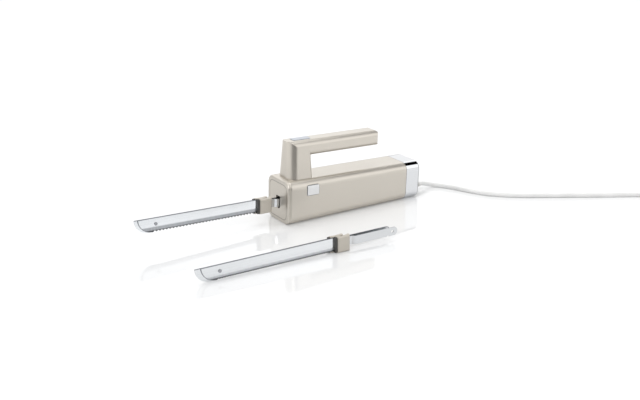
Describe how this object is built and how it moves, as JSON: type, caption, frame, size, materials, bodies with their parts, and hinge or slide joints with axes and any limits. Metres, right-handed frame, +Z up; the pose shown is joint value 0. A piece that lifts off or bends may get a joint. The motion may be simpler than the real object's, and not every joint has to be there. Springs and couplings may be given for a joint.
{
  "type": "electric carving knife",
  "caption": "Mains electric carving knife with a raised handle, a pair of reciprocating serrated blades in front and a second pair lying beside it.",
  "frame": {"origin": "on the centre line of the flat underside, 90 mm behind the front face, in the plane the knife rests on", "axes": "+Z up from the resting plane, -X towards the blade tips, +X towards the cord, -Y towards the knife's left side, where the second pair of blades lies"},
  "size_m": [0.8908, 0.3515, 0.1185],
  "materials": {
    "champagne": "metallic beige paint, satin",
    "block_champagne": "metallic beige, satin",
    "chrome": "polished",
    "blade_steel": "ground and brushed lengthwise",
    "steel": "plain",
    "stamped": "laminated",
    "black": "matt",
    "button_silver": "satin silver",
    "white": "smooth",
    "cord": "smooth flexible PVC",
    "nylon": "natural nylon",
    "brass": "plain",
    "bronze": "sintered",
    "copper": "enamelled copper wire",
    "carbon": "graphite",
    "board": "lacquered"
  },
  "bodies": {
    "housing": {"body_sleeve": "champagne", "front_plate": "champagne", "rear_cap": "chrome", "end_plate": "black", "handle_left_half": "champagne", "handle_right_half": "champagne", "handle_screws": "steel", "switch_spring": "steel", "microswitch": "black", "release_spring": "steel", "chassis_frame": "black", "chassis_cover": "black", "chassis_screws": "steel", "wheel_axle": "steel", "stator_core": "stamped", "field_coils": "copper", "front_bush": "bronze", "rear_bush": "bronze", "front_bracket": "steel", "rear_bracket": "black", "motor_bolts": "steel", "brush_holders": "brass", "carbon_brushes": "carbon", "circuit_board": "board", "cord_clamp": "black", "cord_gland": "white", "power_cord": "cord", "cord_coil": "cord", "plug_body": "white", "plug_pins": "chrome"},
    "rotor": {"motor_shaft": "steel", "worm": "steel", "rotor_core": "stamped", "rotor_winding": "copper", "commutator": "copper", "cooling_fan": "white"},
    "wheel": {"worm_wheel": "nylon", "eccentric_cams": "steel"},
    "left_drive": {"left_drive_slider": "nylon", "left_latch_spring": "steel"},
    "right_drive": {"right_drive_slider": "nylon", "right_latch_spring": "steel"},
    "left_blades": {"left_blade": "blade_steel", "left_block_nose": "black", "left_block_cover": "block_champagne", "blade_rivet": "chrome"},
    "right_blades": {"right_blade": "blade_steel", "right_block_nose": "black", "right_block_cover": "block_champagne"},
    "switch": {"switch_button": "button_silver"},
    "release_left": {"release_button_left": "button_silver"},
    "release_right": {"release_button_right": "button_silver"},
    "spare_left": {"spare_left_blade": "blade_steel", "spare_rivet": "chrome", "spare_left_nose": "black", "spare_left_cover": "block_champagne"},
    "spare_right": {"spare_right_blade": "blade_steel", "spare_right_nose": "black", "spare_right_cover": "block_champagne"}
  },
  "joints": [
    {"name": "rotor_spin", "type": "hinge", "parent": "housing", "child": "rotor", "pos_m": [0.00298, 0, 0.03122], "axis": [0.9995, 0, -0.03], "range_deg": [0, 4320]},
    {"name": "wheel_turn", "type": "hinge", "parent": "housing", "child": "wheel", "pos_m": [0.00256, 0, 0.01723], "axis": [0, 1, 0], "range_deg": [0, 180]},
    {"name": "left_drive_slide", "type": "slide", "parent": "housing", "child": "left_drive", "axis": [-0.9995, 0, 0.03], "range_m": [0, 0.0048]},
    {"name": "right_drive_slide", "type": "slide", "parent": "housing", "child": "right_drive", "axis": [0.9995, 0, -0.03], "range_m": [0, 0.0048]},
    {"name": "left_blade_pull", "type": "slide", "parent": "left_drive", "child": "left_blades", "axis": [-0.9995, 0, 0.03], "range_m": [0, 0.06]},
    {"name": "right_blade_pull", "type": "slide", "parent": "right_drive", "child": "right_blades", "axis": [-0.9995, 0, 0.03], "range_m": [0, 0.06]},
    {"name": "switch_press", "type": "slide", "parent": "housing", "child": "switch", "axis": [-0.03, 0, -0.9995], "range_m": [0, 0.0022], "stiffness_N_per_m": 800, "springref_m": -0.002, "deforming": ["switch_spring"]},
    {"name": "release_left_press", "type": "slide", "parent": "housing", "child": "release_left", "axis": [0, 1, 0], "range_m": [0, 0.0024], "stiffness_N_per_m": 600, "springref_m": -0.002, "deforming": ["release_spring"]},
    {"name": "release_right_press", "type": "slide", "parent": "housing", "child": "release_right", "axis": [0, -1, 0], "range_m": [0, 0.0024], "stiffness_N_per_m": 600, "springref_m": -0.002, "deforming": ["release_spring"]},
    {"name": "spare_lift", "type": "slide", "parent": "housing", "child": "spare_left", "axis": [0, 0, 1], "range_m": [0, 0.06]},
    {"name": "spare_slide", "type": "slide", "parent": "spare_left", "child": "spare_right", "axis": [0.9993, -0.0366, 0.0081], "range_m": [0, 0.0156]}
  ],
  "couplings": [
    {"joint": "wheel_turn", "follows": "rotor_spin", "ratio": 0.041667},
    {"joint": "left_drive_slide", "follows": "rotor_spin", "m_per_rad": 0.000063662},
    {"joint": "right_drive_slide", "follows": "rotor_spin", "m_per_rad": 0.000063662},
    {"joint": "right_blade_pull", "follows": "left_blade_pull", "ratio": 1}
  ]
}
